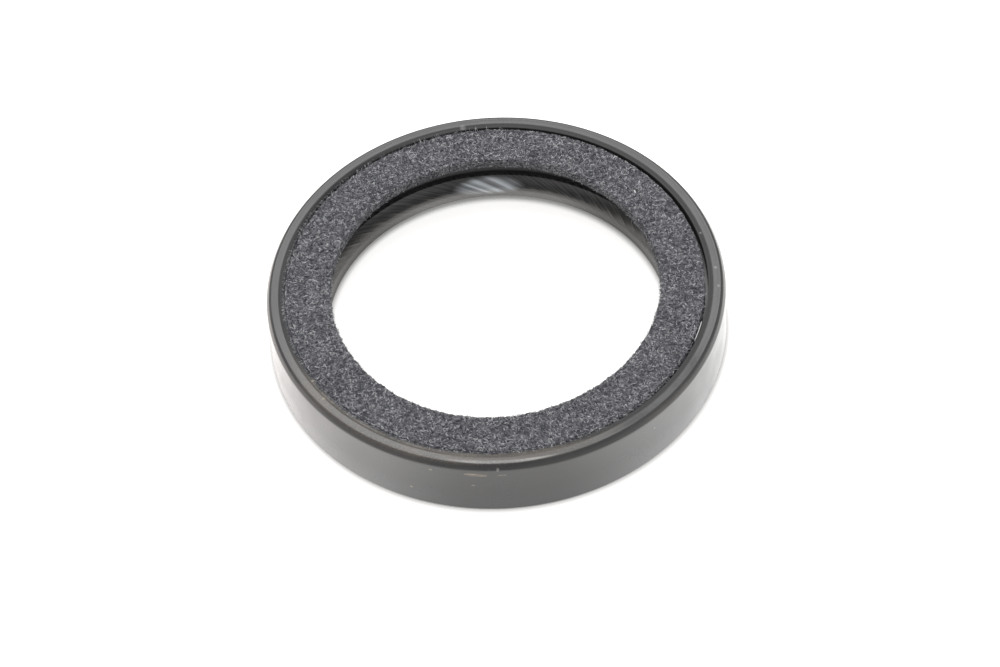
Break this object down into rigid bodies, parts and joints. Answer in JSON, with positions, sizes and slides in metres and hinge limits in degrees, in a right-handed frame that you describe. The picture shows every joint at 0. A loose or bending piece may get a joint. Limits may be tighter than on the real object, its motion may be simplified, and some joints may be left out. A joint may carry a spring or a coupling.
{
  "type": "radial shaft seal",
  "caption": "Rubber-covered rotary shaft seal ring with a steel-stiffened case, spring-loaded ribbed sealing lip and a felt dust ring on its air side.",
  "frame": {"origin": "centre of the oil-side face that the seal stands on", "axes": "+Z along the seal's axis, from the oil side towards the air side with its felt ring"},
  "size_m": [0.068, 0.068, 0.01],
  "materials": {
    "black_rubber": "satin moulded",
    "case_steel": "pressed sheet, dull",
    "spring_steel": "drawn wire",
    "grey_felt": "needled non-woven"
  },
  "bodies": {
    "root": {"rubber_body": "black_rubber", "case_ring": "case_steel", "garter_spring": "spring_steel", "felt_ring": "grey_felt"}
  },
  "joints": []
}
